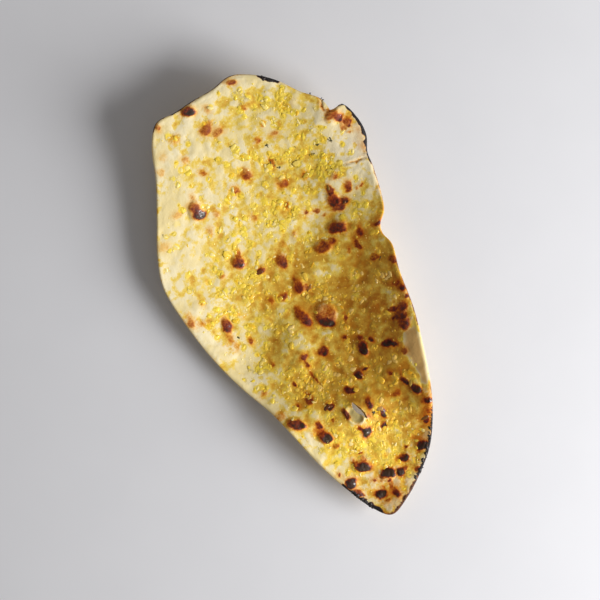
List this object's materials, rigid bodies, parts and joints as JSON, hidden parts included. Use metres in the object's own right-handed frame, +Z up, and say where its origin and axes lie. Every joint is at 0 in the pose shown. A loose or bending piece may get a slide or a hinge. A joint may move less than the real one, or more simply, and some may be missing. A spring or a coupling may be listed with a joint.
{
  "type": "garlic naan bread",
  "caption": "Large teardrop-shaped tandoor flatbread with scorched bubbles, chopped garlic and a torn bubble near its tip.",
  "frame": {"origin": "middle of the bread's bounding box, on the surface that it lies on", "axes": "+Y along the bread towards its broad end, +Z up, +X to its right edge seen from above"},
  "size_m": [0.1861, 0.362, 0.0381],
  "materials": {
    "baked_dough": "baked, buttered"
  },
  "bodies": {
    "root": {"naan_bread": "baked_dough"}
  },
  "joints": []
}
